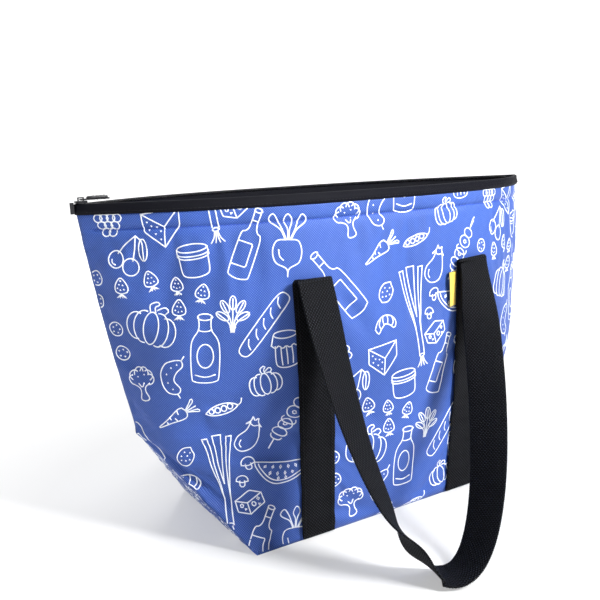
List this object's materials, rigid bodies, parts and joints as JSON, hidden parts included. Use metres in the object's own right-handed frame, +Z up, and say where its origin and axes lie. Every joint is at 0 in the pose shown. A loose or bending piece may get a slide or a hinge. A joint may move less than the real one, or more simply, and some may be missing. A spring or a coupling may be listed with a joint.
{
  "type": "insulated zip-top tote bag",
  "caption": "Soft insulated shopping tote with a flared body, flat folded-gusset base, open zip top and long webbing handles that hang down front and back.",
  "frame": {"origin": "middle of the flat base, where the bag stands", "axes": "+Z up, X along the bag's width, the front with the side label faces -Y"},
  "size_m": [0.4818, 0.4376, 0.2989],
  "materials": {
    "printed_fabric": "woven polyester with a white line print",
    "foam": "soft closed-cell sheet",
    "foil_lining": "metallised film",
    "webbing": "ribbed polypropylene webbing",
    "zip_tape": "woven zip tape and nylon coil",
    "zip_metal": "black lacquered zinc",
    "label": "woven ribbon"
  },
  "bodies": {
    "bag": {"foam_back": "foam", "foam_base": "foam", "foam_front": "foam", "handle_leg_back_left": "webbing", "handle_leg_back_right": "webbing", "handle_leg_front_left": "webbing", "handle_leg_front_right": "webbing", "label": "label", "lining_back": "foil_lining", "lining_base": "foil_lining", "lining_front": "foil_lining", "shell_back": "printed_fabric", "shell_base": "printed_fabric", "shell_front": "printed_fabric", "zip_coil_back": "zip_tape", "zip_coil_front": "zip_tape", "zip_end_tip": "zip_tape", "zip_slider": "zip_metal", "zip_tape_back": "zip_tape", "zip_tape_front": "zip_tape"},
    "front_handle": {"handle_loop_front": "webbing"},
    "back_handle": {"handle_loop_back": "webbing"},
    "pull_tab": {"zip_pull": "zip_metal"}
  },
  "joints": [
    {"name": "front_handle_swing", "type": "hinge", "parent": "bag", "child": "front_handle", "pos_m": [0, -0.09595, 0.224], "axis": [-1, 0, 0], "range_deg": [0, 148]},
    {"name": "back_handle_swing", "type": "hinge", "parent": "bag", "child": "back_handle", "pos_m": [0, 0.09595, 0.224], "axis": [1, 0, 0], "range_deg": [0, 152]},
    {"name": "pull_tab_flip", "type": "hinge", "parent": "bag", "child": "pull_tab", "pos_m": [-0.2345, 0, 0.297], "axis": [0, -1, 0], "range_deg": [0, 120]}
  ]
}
